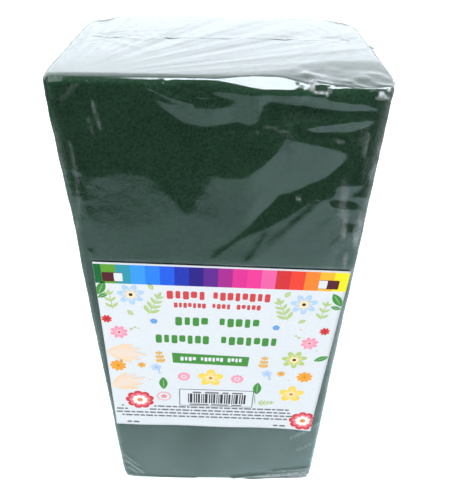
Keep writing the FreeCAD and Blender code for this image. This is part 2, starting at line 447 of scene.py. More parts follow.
# ... and where it tips past it
DARK_PATCHES = [
    [(-22, 189), (-16, 182), (-12, 176), (-10, 174), (-8, 177), (-8, 181), (-11, 187),
     (-11, 192)],
    [(-45.5, 192), (-43, 192), (-42.5, 176), (-44.5, 172)],
    [(-4, 154), (-1, 159.5), (5.5, 164), (10.5, 169), (14, 174), (20.5, 182), (26, 182.5),
     (30, 185.5), (34.5, 187), (33, 183.5), (24.5, 174.5), (17.5, 169.5), (6.5, 163.5),
     (0.5, 157)],
    [(17.5, 168), (16, 167.5), (9.5, 155), (11, 155)],
    [(36, 181), (46, 180), (47, 177.5), (37, 178.5)],
    [(42, 172), (48, 171), (48, 168), (43, 169)],
]


def inside(x, z, outline):
    """Whether each point is in a closed outline: it passes an odd number of sides."""
    odd = np.zeros(x.shape, bool)
    for (x0, z0), (x1, z1) in zip(outline, outline[1:] + outline[:1]):
        if z0 != z1:
            odd ^= ((z0 > z) != (z1 > z)) & (x < x0 + (z - z0) * (x1 - x0) / (z1 - z0))
    return odd


# The grid that the front's height is solved on: its step, points a side and lowest corner
RELIEF_STEP, RELIEF_COUNT, RELIEF_X, RELIEF_Z = 0.5, 256, -64.0, 96.0
RELIEF_ROUNDS, OVERSHOOT = 80, 1.6


def solve_relief():
    """A smooth height for the film on the front that mirrors the ground in the bright
    patches only.

    Each round asks every point for a slope on the right side of the one that mirrors the
    white ground's far edge, then takes the smoothest surface near those slopes.
    """
    steps = RELIEF_STEP * np.arange(RELIEF_COUNT)
    x, z = np.meshgrid(RELIEF_X + steps, RELIEF_Z + steps, indexing="ij")
    to_edge = np.arctan2(z, WHITE_REACH + FILM_LOW[1])
    to_eye = np.arctan2(EYE[2] - z, FILM_LOW[1] - EYE[1])
    limit = (to_edge - to_eye) / 2
    bright = z < 182  # the film mirrors the ground all over its lower part
    for outline in BRIGHT_PATCHES:
        bright |= inside(x, z, outline)
    for outline in DARK_PATCHES:
        bright &= ~inside(x, z, outline)
    shaped = (z > 146) & (z < 219) & (np.abs(x) < 50.5)
    window = np.clip((221.5 - z) / 3, 0, 1) * np.clip((z - 140) / 10, 0, 1)
    # how far past the limit a slope is asked for: more near the top, less at the left
    margin = 0.035 + 0.025 * np.clip((z - 200) / 8, 0, 1)
    margin -= 0.022 * np.clip((4 - x) / 8, 0, 1) * np.clip((196 - z) / 4, 0, 1)
    # the surface costs little to bend sideways and more to bend sharply
    waves = 2 * np.pi * np.fft.fftfreq(RELIEF_COUNT, RELIEF_STEP)
    kx, kz = np.meshgrid(waves, waves, indexing="ij")
    stiffness = kz**2 + 0.015 * kx**2 + 1 / 30**2 + 0.015 * (kx**2 + kz**2) ** 2
    slope = np.zeros_like(x)
    for _ in range(RELIEF_ROUNDS):
        steeper, flatter = np.maximum(slope, limit + margin), np.minimum(slope, limit - margin)
        asked = np.where(shaped, np.where(bright, steeper, flatter), 0)
        asked = slope + OVERSHOOT * (asked - slope)
        height = np.real(np.fft.ifft2(-1j * kz * np.fft.fft2(asked) / stiffness)) * window
        slope = np.gradient(height, RELIEF_STEP, axis=1)
    return height


RELIEF = solve_relief()


def sample_relief(x, z):
    """The solved height at any point of the front, between its grid's points."""
    a = np.clip((x - RELIEF_X) / RELIEF_STEP, 0, RELIEF_COUNT - 1.001)
    b = np.clip((z - RELIEF_Z) / RELIEF_STEP, 0, RELIEF_COUNT - 1.001)
    i, j = a.astype(int), b.astype(int)
    a, b = a - i, b - j
    low = RELIEF[i, j] * (1 - a) + RELIEF[i + 1, j] * a
    return low * (1 - b) + (RELIEF[i, j + 1] * (1 - a) + RELIEF[i + 1, j + 1] * a) * b


# Creases of the film on the front: (x, z) path, width, height
FRONT_STROKES = [
    ([(-15, 218.5), (-9, 216), (-3, 215)], 0.6, 0.42),
    ([(-20, 218), (-13, 215), (-8, 213.5)], 0.6, 0.42),
    ([(-36.5, 212), (-35.5, 206.5)], 0.4, 0.30),
    ([(-36.5, 219), (-36.5, 212)], 0.4, 0.12),
    ([(-45.5, 200), (-45, 190)], 0.45, 0.25),
    ([(45, 202.5), (45, 198)], 0.4, 0.25),
    ([(-45.5, 158), (-45, 154)], 0.7, 0.3),
    ([(-49, 26), (-45, 19)], 0.5, 0.25),
    ([(-48, 20), (-41, 9)], 0.5, 0.3),
    ([(-47, 13), (-42, 6)], 0.5, 0.2),
    ([(9, 2.5), (18, 4.5), (32, 5.5), (49, 8)], 0.9, 0.8),
    ([(14, 0.5), (26, 2.5), (48, 3.5)], 0.6, 0.7),
    ([(30, 9.5), (48, 13)], 0.7, 0.45),
    ([(38, 52), (44, 41), (49, 24)], 1.4, 0.3),
    ([(-48, 4), (-30, 2), (-12, 1.5)], 0.7, 0.3),
    ([(40, 46), (50, 56)], 0.7, 0.3),
    ([(26.5, 181)], 0.6, 0.3),
    ([(33, 27)], 0.6, 0.3),
]

# Creases whose folded film is whitish, with a painted highlight: (x, z) path, width, share of haze
# and painted highlight
HAZE_AND_HIGHLIGHT_CREASES = [
    ([(-49.5, 27), (-45.5, 19), (-42, 13)], 0.4, 0.14),
    ([(-48.5, 19), (-43, 10), (-40, 5)], 0.4, 0.18),
    ([(-47, 11), (-43, 4)], 0.4, 0.14),
    ([(37, 41), (43, 47), (50, 55)], 0.45, 0.15),
    ([(41, 30), (49.5, 38)], 0.4, 0.14),
    ([(20, 4), (33, 6), (49, 9)], 0.6, 0.30),
    ([(26, 1.5), (48, 4)], 0.6, 0.26),
    ([(-45.5, 200), (-45, 190), (-47, 176), (-49, 168)], 0.35, 0.06),
    ([(-36.5, 213), (-35.5, 205)], 0.32, 0.07),
    ([(-38.5, 208), (-38, 203)], 0.32, 0.04),
    ([(-45.5, 213.5), (-40.5, 218)], 0.35, 0.04),
    ([(45, 204), (45, 197)], 0.35, 0.08),
    ([(26.5, 181)], 0.4, 0.25),
    ([(14, 206), (21.5, 204.5), (22, 203)], 0.32, 0.04),
]


def towards(outward, axis, sign):
    """1 on the flat face that looks that way, falling to 0 round its edges."""
    return smooth(outward[:, axis] * sign, 0.4, 1.0)


def front_waves(points):
    """The front's folds, its bright and dark patches, and finer crinkles."""
    x, z = points[:, 0], points[:, 2]
    lift = sum(height * stroke(x, z, path, width) for path, width, height in FRONT_STROKES)
    lift += sample_relief(x, z) + FRONT_SLACK * smooth(z, 140, 156)
    # crinkles down the right edge
    zone = smooth(x, 42, 48) * smooth(z, 60, 90) * smooth(-z, -212, -204)
    lift += zone * 0.22 * fractal(points, (5, 40, 6), 31)
    # slanting streaks between the upper middle and the label
    along, across = 0.64 * x + 0.77 * z, 0.77 * x - 0.64 * z
    zone = smooth(across, -115, -100) * smooth(x, 2, 12)
    zone = zone * smooth(z, 152, 160) * smooth(-z, -198, -188)
    return lift + zone * 0.10 * noise(columns(along, across, 0), (30, 4.2, 1), 33)


def end_gathers(points):
    """Pleats beside the top weld, and fans that spread from where it runs off each side."""
    x, y = points[:, 0], points[:, 1] - WELD_Y
    lift = 0.12 * noise(columns(x, y, 0), (4.5, 30, 1), 41) * np.exp(-np.abs(y) / 6)
    for side in (-1, 1):
        dx = x - side * WELD_END
        reach = np.hypot(dx, y)
        angle = np.arctan2(y, -side * dx)
        fan = 0.35 * ridged(columns(angle * 10, reach / 30, 0), 1.0, 43 + side, 1.0)
        lift += fan * np.exp(-reach / 16) * smooth(reach, 0, 5)
    return lift


def top_streaks(points):
    """Tension lines that fan out across the top from the left of its front edge."""
    dx, dy = points[:, 0] + 44, points[:, 1] + FILM_HALF[1] + 4
    reach = np.hypot(dx, dy)
    polar = columns(np.arctan2(dy, dx) * 22, reach / 60, 0)
    fan = 0.17 * noise(polar, 1.3, 51) + 0.04 * noise(polar, 0.55, 53)
    return fan * smooth(reach, 10, 50)


def side_fans(points):
    """Creases that spread over the narrow sides from where each ear leaves them."""
    lift = np.zeros(len(points))
    for level, seed in ((FILM_HIGH[2], 55), (FILM_LOW[2], 57)):
        dy, dz = points[:, 1] - WELD_Y, np.abs(points[:, 2] - level)
        reach = np.hypot(dy, dz)
        polar = columns(np.arctan2(dy, dz) * 9, reach / 40, np.sign(points[:, 0]) * 8.3)
        lift += 0.4 * ridged(polar, 1.0, seed, 0.8) * np.exp(-reach / 20) * smooth(reach, 2, 8)
    return lift


def edge_puckers(points):
    """Short creases square to the long edges, where the film turns round them."""
    x, y = points[:, 0], points[:, 1]
    from_edge = np.maximum(FOAM_HALF[0] - np.abs(x), FOAM_HALF[1] - np.abs(y))
    near = np.exp(-from_edge / 5)
    return (0.12 + 0.12 * (y > 0)) * near * fractal(points, (16, 16, 3.2), 61)


def near_label(points, margin):
    """1 behind the label, falling to 0 over the margin round it."""
    dx, dz = points[:, 0], points[:, 2] - LABEL_MIDDLE
    u = np.abs(dx * math.cos(LABEL_TURN) - dz * math.sin(LABEL_TURN)) - LABEL_SIZE[0] / 2
    v = np.abs(dx * math.sin(LABEL_TURN) + dz * math.cos(LABEL_TURN)) - LABEL_SIZE[1] / 2
    return smooth(-np.maximum(u, v), -margin, 0)


def film_lift(points, outward):
    """How far the film stands off its tight position, outwards."""
    x, y, z = points.T
    front = towards(outward, 1, -1)
    up = towards(outward, 2, 1)
    down = towards(outward, 2, -1)
    right = towards(outward, 0, 1)
    round_about = 1 - np.maximum(up, down)
    lift = 0.12 * fractal(points, 38, 71) + 0.02 * fractal(points, 3, 73)
    lift += (1 - front) * round_about * 0.25 * fractal(points, (24, 24, 30), 75)
    lift += round_about * edge_puckers(points)
    lift += up * (end_gathers(points) + top_streaks(points))
    # small pleats along the side weld
    lift += right * 0.4 * noise(points, (9, 40, 4), 77) * np.exp(-np.abs(y) / 7)
    lift += (right + towards(outward, 0, -1)) * side_fans(points)
    # long slack creases down the back
    back = towards(outward, 1, 1)
    slant = columns(x + 0.35 * z, y, z - 0.35 * x)
    lift += back * 0.3 * ridged(slant, (26, 400, 90), 59, 1.6)
    # past this depth the film sinks into the foam only a third as far
    deep = -0.3
    lift = np.where(lift > deep, lift, deep + (lift - deep) * 0.3)
    lift += front * front_waves(points)
    # the label holds the film flat against the foam
    flat, pressed = front * near_label(points, 1.6), 0.12
    return (lift * (1 - flat) - pressed * flat) * (1 - down)


def film_haze_and_highlight(points, outward):
    """How whitish the film is, from haze and painted highlight, most where it bunches and folds.
    """
    x, y, z = points.T
    front, up = towards(outward, 1, -1), towards(outward, 2, 1)
    # over the top, a little haze and a painted sheen
    haze_and_highlight = up * (0.02 + 0.06 * smooth(fractal(points, (18, 18, 9), 81), -0.6, 0.8))
    # down the front's right side, haze and painted highlights on its crinkles
    right_side = front * smooth(x, 36, 49) * smooth(z, 90, 150) * smooth(-z, -214, -190)
    haze_and_highlight += right_side * 0.22 * smooth(fractal(points, (2.4, 9, 13), 83), -0.1, 0.7)
    # along the upright edges, and more so on the right, haze and a painted highlight where the
    # film turns
    corner = np.hypot(np.abs(x) - FILM_HALF[0], np.abs(y) - FILM_HALF[1])
    edges = np.exp(-(corner**2) / 5) * (0.13 + 0.05 * np.sign(x))
    haze_and_highlight += edges * smooth(fractal(points, (9, 9, 22), 85), -0.5, 0.7)
    # painted highlights, with haze, along the front's creases
    haze_and_highlight += front * sum(share * stroke(x, z, path, width) for path, width, share in HAZE_AND_HIGHLIGHT_CREASES)
    # painted sparkle highlights in the crumpled film at the top right
    sparkle_highlights = smooth(noise(points, (2.2, 1.9, 1.4), 89), 0.42, 0.6) * smooth(x, 22, 28)
    haze_and_highlight += 0.5 * sparkle_highlights * smooth(z, 214, 216.5) * smooth(-y, 24, 33)
    # painted highlights in the folds at the bottom right
    folds = 0.3 * np.exp(-z / 4) * smooth(x, 0, 30)
    return haze_and_highlight + folds * smooth(fractal(points, (7, 7, 2.5), 87), -0.1, 0.6)


def top_edge_crumple(points):
    """How far the crumpled film stands off along the right half of the top front edge."""
    x, y, z = points.T
    near = np.exp(-((y + FILM_HALF[1]) ** 2) / 60 - (z - FILM_HIGH[2]) ** 2 / 24)
    return near * smooth(x, 17, 27) * (0.55 + 0.9 * fractal(points, (4.2, 2.6, 2.6), 79))


def make_film(mat):
    middle = (FILM_LOW[2] + FILM_HIGH[2]) / 2
    # finer where the folds are, at the bottom and above the label
    fine, medium, coarse = 0.8, 1.0, 1.8
    upright = [(16 - middle, fine), (140 - middle, coarse), (math.inf, fine)]
    zones = [[(math.inf, fine)], [(math.inf, medium)], upright]
    points, outward, faces = rounded_block(FILM_HALF, FILM_ROUND, zones)
    points = points + np.array([0, 0, middle])
    moved = points + outward * film_lift(points, outward)[:, None]
    moved = moved + crush(moved, FILM_HALF, FILM_HIGH[2])
    moved += outward * top_edge_crumple(points)[:, None]
    moved[:, 2] = np.maximum(moved[:, 2], 0.02)
    film = mesh_object("film_wrap", moved, faces, mat)
    # per vertex: haze, and painted highlight on creases, folds and edges
    set_values(film, "haze_and_highlight", film_haze_and_highlight(points, outward))
    return film


def make_bead(name, start, end, rise, width, height, mat, seed):
    """A weld: a narrow bead along a line, uneven in height and slightly crooked."""
    rise = np.array(rise, float)
    length = np.linalg.norm(end - start)
    along = (end - start) / length
    sideways = np.cross(along, rise)
    centre = start + np.linspace(0, length, 160)[:, None] * along
    sway = noise(centre, 9, seed)[:, None] * sideways * 0.3
    tall = height * (1 + 0.45 * noise(centre, 3, seed + 1))
    profile = [(-0.5, 0), (-0.45, 0.6), (-0.2, 1), (0.2, 1), (0.45, 0.6), (0.5, 0)]
    lines = [centre + sway + sideways * width * a + rise * (tall * b)[:, None] for a, b in profile]
    points = np.stack(lines, 1).reshape(-1, 3)
    sides, last = len(profile), len(points) - len(profile)
    faces = []
    for ring in range(0, last, sides):
        for j in range(sides):
            k = (j + 1) % sides
            faces.append([ring + j, ring + k, ring + sides + k, ring + sides + j])
    faces.append(list(range(sides))[::-1])
    faces.append(list(range(last, last + sides)))
    return mesh_object(name, points, faces, mat)


def make_ear(name, node, mat, seed):
    """A gathered tab of film: a crumpled, pleated fin in its CAD node's place."""
    low, high = cad_box(node)
    side = 1 if low[0] > 0 else -1
    root = low[0] if side > 0 else high[0]
    reach = (high[0] - low[0]) * 1.15
    at_top = low[2] > MID_Z
    rows, cols = 34, 18
    s, t = np.meshgrid(np.linspace(0, 1, rows), np.linspace(0, 1, cols), indexing="ij")
    s, t = s.ravel(), t.ravel()
    out = t * reach * (0.25 + 0.75 * np.sin(math.pi * s**0.8) ** 0.6)
    if at_top:
        up = high[2] - 0.5 - s * (high[2] - low[2])
    else:
        up = low[2] + 0.5 + s * (high[2] - low[2] - 1)
    flat = columns(out, 0, up)
    pleat = 0.8 * np.sin(s * 17 + t * 3 + seed) * t + 0.9 * noise(flat, (2.2, 1, 1.6), seed)
    x = root - side * 0.6 + side * out
    z = np.clip(up + 0.4 * noise(flat, 2.0, seed + 5), 0.1, None)
    half = 0.18 * (1 - 0.7 * t)  # half its thickness, which falls towards the tip
    layers = [columns(x, WELD_Y + pleat + sign * half, z) for sign in (-1, 1)]
    faces = sheet_faces(rows, cols, flip=(side > 0) == at_top)
    return mesh_object(name, np.concatenate(layers), faces, mat)


# ------ label

def label_curl(u, v):
    """How far the label's lower edge and right corner, and its top edge, stand off the film."""
    wave = 0.6 + 0.4 * np.sin(u * 0.16 + 1.0)
    corner = 0.9 * np.exp(-((u - 48) ** 2 + (v + 51) ** 2) / 60)
    return 0.34 * wave * smooth(-v, 43, 50.5) + corner + 0.1 * smooth(v, 47, 50.5)


def on_label(u, v, depth):
    """Label coordinates, from its middle, as points in the frame; depth is towards -Y."""
    u, v = np.asarray(u, float), np.asarray(v, float)
    depth = depth + label_curl(u, v)
    x = u * math.cos(LABEL_TURN) + v * math.sin(LABEL_TURN)
    z = LABEL_MIDDLE - u * math.sin(LABEL_TURN) + v * math.cos(LABEL_TURN)
    return columns(x, LABEL_FACE - depth, z)


def make_label(mat):
    """The paper sheet, as a closed mesh."""
    wide, tall = LABEL_SIZE
    cols, rows = 60, 64
    across, up = np.linspace(-wide / 2, wide / 2, cols), np.linspace(-tall / 2, tall / 2, rows)
    u, v = np.meshgrid(across, up)
    points = np.concatenate([on_label(u.ravel(), v.ravel(), depth) for depth in (0.0, -PAPER)])
    return mesh_object("label_sheet", points, sheet_faces(rows, cols), mat)


class Print:
    """Flat ink shapes on the label; a higher layer lies on top of a lower one."""

    def __init__(self):
        self.points, self.faces, self.inks = [], [], []

    def shape(self, outline, ink, layer=1):
        outline = np.asarray(outline, float)
        keep = np.array(LABEL_SIZE) / 2 - 0.05
        outline = np.clip(outline, -keep, keep)
        start = len(self.points)
        self.points.extend(on_label(*outline.T, INK_GAP + INK_STEP * layer))
        self.faces.append(list(range(start, start + len(outline))))
        self.inks.extend([ink] * len(outline))

    def ellipse(self, u, v, a, b, ink, layer=1, turn=0.0, count=20):
        t = np.linspace(0, 2 * math.pi, count, endpoint=False)
        self.shape(turned(u, v, a * np.cos(t), b * np.sin(t), turn), ink, layer)

    def bar(self, u, v, wide, tall, ink, layer=1, corner=None):
        """Rounded rectangle about its middle."""
        r = min(wide, tall) / 2 if corner is None else corner
        t = np.linspace(0, math.pi / 2, 5)
        outline = []
        for quarter, (su, sv) in enumerate([(1, 1), (-1, 1), (-1, -1), (1, -1)]):
            angle = t + quarter * math.pi / 2
            cu, cv = u + su * (wide / 2 - r), v + sv * (tall / 2 - r)
            outline += list(zip(cu + r * np.cos(angle), cv + r * np.sin(angle)))
        self.shape(outline, ink, layer)

    def rosette(self, u, v, size, petals, ink, layer=1, point=0.6, depth=0.45):
        """All of a flower's petals as one outline; a larger point makes them sharper."""
        t = np.linspace(0, 2 * math.pi, petals * 12, endpoint=False)
        r = size * (1 - depth + depth * np.abs(np.cos(petals * t / 2)) ** point)
        outline = turned(u, v, r * np.cos(t), r * np.sin(t), 0.3)
        rings = [(1 - k) * np.array([u, v]) + k * outline for k in (0.2, 0.4, 0.6, 0.8, 1.0)]
        self.shape(rings[0], ink, layer)
        for inner, outer in zip(rings, rings[1:]):
            for i in range(len(t)):
                j = (i + 1) % len(t)
                self.shape([inner[i], outer[i], outer[j], inner[j]], ink, layer)

    def flower(self, u, v, size, petals, ink, ring, eye, point=0.6, depth=0.45):
        """Petals in two tones round a ring and an eye."""
        self.rosette(u, v, size, petals, ink, 1, point, depth)
        self.rosette(u, v, size * 0.62, petals, blend(ink, ring, 0.4), 2, point, depth)
        self.ellipse(u, v, size * 0.32, size * 0.32, ring, 3)
        self.ellipse(u, v, size * 0.15, size * 0.15, eye, 4, count=10)

    def leaf(self, u, v, long, wide, turn, ink, layer=1, vein=True):
        t = np.linspace(0, 1, 10)
        bend = np.sin(math.pi * t) ** 0.8
        p = np.concatenate([t, t[-2:0:-1]]) * long
        q = np.concatenate([bend, -bend[-2:0:-1]]) * wide / 2
        self.shape(turned(u, v, p, q, turn), ink, layer)
        if vein:
            mid_u, mid_v = u + long / 2 * math.cos(turn), v + long / 2 * math.sin(turn)
            pale = blend(ink, WHITE, 0.45)
            self.ellipse(mid_u, mid_v, long * 0.4, 0.16, pale, layer + 1, turn, 8)

    def sprig(self, u, v, long, turn, ink, pairs=4, plump=0.36):
        """A stem with pairs of leaves and one at its tip."""
        c, s = math.cos(turn), math.sin(turn)
        self.ellipse(u + long / 2 * c, v + long / 2 * s, long / 2, 0.25, ink, 1, turn, 8)
        for i in range(pairs):
            at = long * (0.15 + 0.7 * i / max(1, pairs - 1))
            size = long * (0.38 - 0.05 * i)
            for layer, side in ((2, -1), (3, 1)):
                lean = turn + side * 0.8
                self.leaf(u + at * c, v + at * s, size, size * plump, lean, ink, layer, False)
        u, v = u + long * 0.85 * c, v + long * 0.85 * s
        self.leaf(u, v, long * 0.3, long * 0.11, turn, ink, 4, False)

    def words(self, v, tall, spans, ink, layer=1):
        """Rounded blocks in place of letters; a span is a word's left and right end."""
        for word, (left, right) in enumerate(spans):
            count = max(2, round((right - left) / (tall * 0.62)))
            pitch = (right - left) / count
            for i in range(count):
                high = tall * (0.92, 0.72, 0.92, 0.84)[(3 * i + word) % 4]
                wide = pitch * (0.78, 0.6, 0.74)[(i + word) % 3]
                u = left + pitch * (i + 0.5)
                self.bar(u, v + (tall - high) / 2, wide, high, ink, layer, wide * 0.3)

    def bars(self, v, tall, spans, ink, layer=1):
        for left, right in spans:
            self.bar((left + right) / 2, v, right - left, tall, ink, layer)

    def build(self, mat):
        obj = mesh_object("label_print", np.array(self.points), self.faces, mat, False)
        colours = obj.data.color_attributes.new("ink", "FLOAT_COLOR", "POINT")
        colours.data.foreach_set("color", np.array(self.inks, np.float32).ravel())
        return obj


def turned(u, v, p, q, turn):
    """An outline about (0, 0), turned and moved to (u, v)."""
    c, s = math.cos(turn), math.sin(turn)
    return columns(u + p * c - q * s, v + p * s + q * c)


def blend(a, b, share):
    return tuple(x + (y - x) * share for x, y in zip(a, b))


WHITE, CREAM, DARK = srgb(219, 226, 233), srgb(252, 226, 178), srgb(70, 40, 50)
GREEN, LEAF, PALE_LEAF = srgb(66, 142, 58), srgb(62, 146, 52), srgb(176, 202, 134)
RED, TITLE_RED = srgb(212, 48, 52), srgb(206, 66, 70)
PINK, ROSE = srgb(240, 150, 176), srgb(226, 140, 146)
BLUE, SKY, LILAC = srgb(104, 158, 224), srgb(172, 204, 236), srgb(184, 204, 240)
YELLOW, ORANGE, RUST = srgb(246, 210, 84), srgb(238, 162, 44), srgb(196, 110, 40)
GOLD, SAND = srgb(224, 178, 96), srgb(238, 208, 176)
MAROON, GREY, BLACK = srgb(86, 26, 38), srgb(112, 112, 118), srgb(48, 46, 54)

SWATCHES = [
    (8, 104, 52), (92, 158, 48), (44, 148, 170), (50, 150, 245), (34, 126, 244), (22, 90, 224),
    (22, 50, 176), (36, 20, 132), (92, 32, 142), (162, 34, 140), (218, 44, 146), (230, 54, 148),
    (232, 96, 164), (208, 44, 50), (232, 64, 48), (240, 130, 44), (242, 182, 44), (240, 228, 24),
]


def draw_band(ink):
    """The strip of colour swatches along the top edge, with a plain tag near each end."""
    wide, tall = LABEL_SIZE
    levels = (40.4, 44.0, 46.9, 47.9, 48.9, tall / 2 - 0.8)
    step = wide / (len(SWATCHES) - 0.5)
    for i, colour in enumerate(SWATCHES):
        left = -wide / 2 + max(0, (i - 0.5) * step)
        right = -wide / 2 + (i + 0.5) * step
        for start, end in zip(levels, levels[1:]):
            ink.shape([(left, start), (right, start), (right, end), (left, end)], srgb(*colour))
    for u, side in ((-40.6, 1), (40.2, -1)):
        ink.bar(u, 43.6, 7.6, 4.4, MAROON, 2, 0.5)
        ink.bar(u + side * 2.2, 43.6, 3.2, 4.0, WHITE, 3, 0.4)


def draw_words(ink):
    """Plain blocks where the label has words."""
    ink.words(35.4, 4.6, [(-21.0, -5.6), (-3.4, 19.4)], TITLE_RED)
    ink.words(30.2, 2.9, [(-18.2, -5.4), (-3.4, 4.2), (6.2, 16.0)], TITLE_RED)
    ink.words(21.2, 5.2, [(-18.0, -4.2), (-0.6, 16.4)], GREEN)
    ink.words(10.6, 5.4, [(-26.2, -3.6), (0.4, 24.6)], GREEN)
    ink.shape([(-19.4, 2.4), (13.6, 1.2), (13.2, -5.0), (-19.0, -4.0)], GREEN)
    ink.words(-1.3, 2.8, [(-16.0, -9.0), (-7.4, 2.6), (4.2, 10.6)], WHITE, 2)


def draw_flowers(ink):
    """Flowers down both sides and along the bottom, and small dots between them."""
    for u, v in ((-34.4, 35.0), (32.4, 33.0)):
        ink.flower(u, v, 5.4, 7, SKY, CREAM, DARK, 0.9, 0.55)
    for u, v in ((-44.9, 21.4), (42.9, 18.4)):
        ink.flower(u, v, 2.2, 8, RED, RED, DARK, 0.8, 0.4)
    for u, v in ((-40.6, 14.0), (37.8, 11.0)):
        ink.flower(u, v, 3.7, 8, PINK, srgb(248, 190, 205), RED, 0.6, 0.45)
    ink.flower(32.8, 0.4, 5.6, 7, srgb(176, 202, 116), CREAM, DARK, 1.0, 0.55)
    for u, v in ((-42.8, -7.0), (38.8, -11.0)):
        ink.flower(u, v, 3.6, 9, ORANGE, ORANGE, RUST, 0.6, 0.35)
    for u, v in ((-32.6, -6.2), (28.2, -9.2)):
        ink.flower(u, v, 1.9, 6, GOLD, ORANGE, RUST)
    for u, v in ((-26.4, -7.4), (22.0, -9.4)):
        ink.flower(u, v, 2.4, 5, LILAC, SKY, BLUE)
        ink.sprig(u + 1.6, v - 4.6, 3.6, 1.7, SKY, 2)
    for u, v in ((-14.4, -13.2), (9.2, -13.8)):
        ink.flower(u, v, 2.9, 10, PINK, WHITE, RED, 0.6, 0.25)
    for u, v in ((-2.6, -13.6), (34.4, -23.4)):
        ink.flower(u, v, 5.8, 5, YELLOW, CREAM, srgb(222, 104, 48), 0.8, 0.5)
    for u, v in ((-34.8, -31.0), (42.4, -43.4)):
        ink.rosette(u, v, 6.6, 9, srgb(208, 54, 70), 1, 0.5, 0.2)
        ink.rosette(u, v, 5.0, 9, srgb(230, 120, 130), 2, 0.5, 0.22)
        ink.rosette(u, v, 3.6, 9, srgb(252, 236, 238), 3, 0.5, 0.25)
        ink.ellipse(u, v, 1.3, 1.3, srgb(214, 140, 54), 4)
    for u, v in ((-26.2, 21.0), (23.0, 19.6)):
        ink.rosette(u, v, 1.5, 5, BLUE, 1, 0.6, 0.15)
    for i in range(26):
        u = 44 * math.sin(i * 2.4) * (0.55 + 0.45 * math.cos(i * 1.7) ** 2)
        if abs(u) > 28:
            ink.ellipse(u, 34 - i * 2.5, 0.4, 0.4, (PINK, SKY, GOLD, PALE_LEAF)[i % 4], 1, 0, 8)


def draw_leaves(ink):
    """Sprigs and single leaves among the flowers."""
    up = math.pi / 2
    ink.sprig(-41.8, 26.4, 9.6, up + 0.1, PALE_LEAF, 3)
    ink.sprig(-28.6, 23.8, 12.4, up - 0.42, PALE_LEAF)
    ink.sprig(27.6, 23.0, 12.4, up + 0.42, PALE_LEAF)
    ink.sprig(39.8, 24.4, 9.6, up - 0.15, PALE_LEAF, 3)
    small = [(-27.4, 41.0, -1.1), (26.4, 39.4, -2.1), (-36.2, 26.8, -1.0), (34.4, 24.6, -2.6)]
    for u, v, turn in small:
        ink.leaf(u, v, 3.6, 2.0, turn, PALE_LEAF)
    large = [(-47.0, 34.4, 7.6, 1.15), (-47.1, 33.0, 4.6, 0.5), (47.0, 32.6, 7.8, 2.15),
             (47.1, 31.2, 4.4, 2.9), (47.0, 3.2, 6.6, math.pi + 0.5), (-23.6, -22.6, 8.6, up),
             (18.6, -24.4, 8.6, up)]
    for u, v, long, turn in large:
        ink.leaf(u, v, long, long * 0.44, turn, LEAF)
    ink.ellipse(18.2, -28.0, 0.16, 4.0, LEAF, 1, 0.1, 8)
    ink.sprig(19.0, -31.0, 7.4, 0.12, PALE_LEAF, 4)
    ink.sprig(-24.0, -5.0, 7.4, up + 0.12, GOLD, 3, 0.7)
    ink.sprig(19.8, -6.4, 7.4, up - 0.05, GOLD, 3, 0.7)
    ink.sprig(-36.4, 15.6, 3.0, 0.5, PALE_LEAF, 2)
    ink.sprig(33.8, 13.6, 3.0, 2.5, PALE_LEAF, 2)
    # pale fronds along the left edge
    for v, turn in ((1.8, -0.08), (-21.4, 0.42)):
        for i, lean in enumerate((-0.5, 0.5, -0.25, 0.25, 0.0)):
            tone = blend(SAND, WHITE, 0.1 * i)
            ink.leaf(-46.8, v, 17 - abs(lean) * 9, 3.4, turn + lean, tone, 1 + i, False)


def draw_small_print(ink):
    """A framed block of stripes and, under it, rows too small to read."""
    u, v, wide, tall = 0.4, -28.2, 34.0, 12.4
    ink.bar(u, v, wide, tall, BLACK, 1, 0.3)
    ink.bar(u, v, wide - 0.7, tall - 0.7, WHITE, 2, 0.2)
    left, i = u - 13.0, 0
    while left < u + 13.4:
        line = (0.45, 0.9, 0.6, 1.2)[(i * 7 + i // 3) % 4]
        ink.bar(left + line / 2, v - 0.4, line, 6.9, BLACK, 3, 0.0)
        left += line + (0.35, 0.6, 0.45)[i % 3]
        i += 1
    ink.bars(v + 4.0, 1.1, [(-10.5, -6.5), (-5.0, 1.5), (3.0, 6.0), (7.4, 12.6)], GREY, 3)
    ink.bars(v - 5.0, 0.9, [(-12.0, -3.0), (-2.0, 6.4), (7.4, 12.4)], GREY, 3)
    ink.rosette(-23.6, -27.8, 3.3, 12, ROSE, 1, 0.6, 0.1)
    ink.rosette(-23.6, -27.8, 2.8, 12, WHITE, 2, 0.6, 0.1)
    ink.rosette(-23.6, -27.8, 1.6, 5, ROSE, 3, 0.8, 0.5)
    for row in range(4):
        v = -35.6 - row * 2.5
        left, end, i = (-43.6, -46.0, -46.4, -44.0)[row], 35.4 - 0.4 * row, row * 5
        while left < end:
            wide = 1.0 + 2.4 * abs(math.sin(i * 1.9 + row))
            if math.hypot(left + wide / 2 + 34.8, v + 31.0) > 8.2:
                ink.bar(left + wide / 2, v, wide, 1.1, GREY, 1, 0.25)
            left += wide + 0.55
            i += 1
    for spans in ([(-42, -39.6), (-39, -36)], [(28.6, 31), (31.6, 34.6)]):
        ink.bars(-48.2, 1.2, spans, GREY)


def make_print(mat):
    ink = Print()
    for draw in (draw_band, draw_words, draw_leaves, draw_flowers, draw_small_print):
        draw(ink)
    return ink.build(mat)


# ------ stage

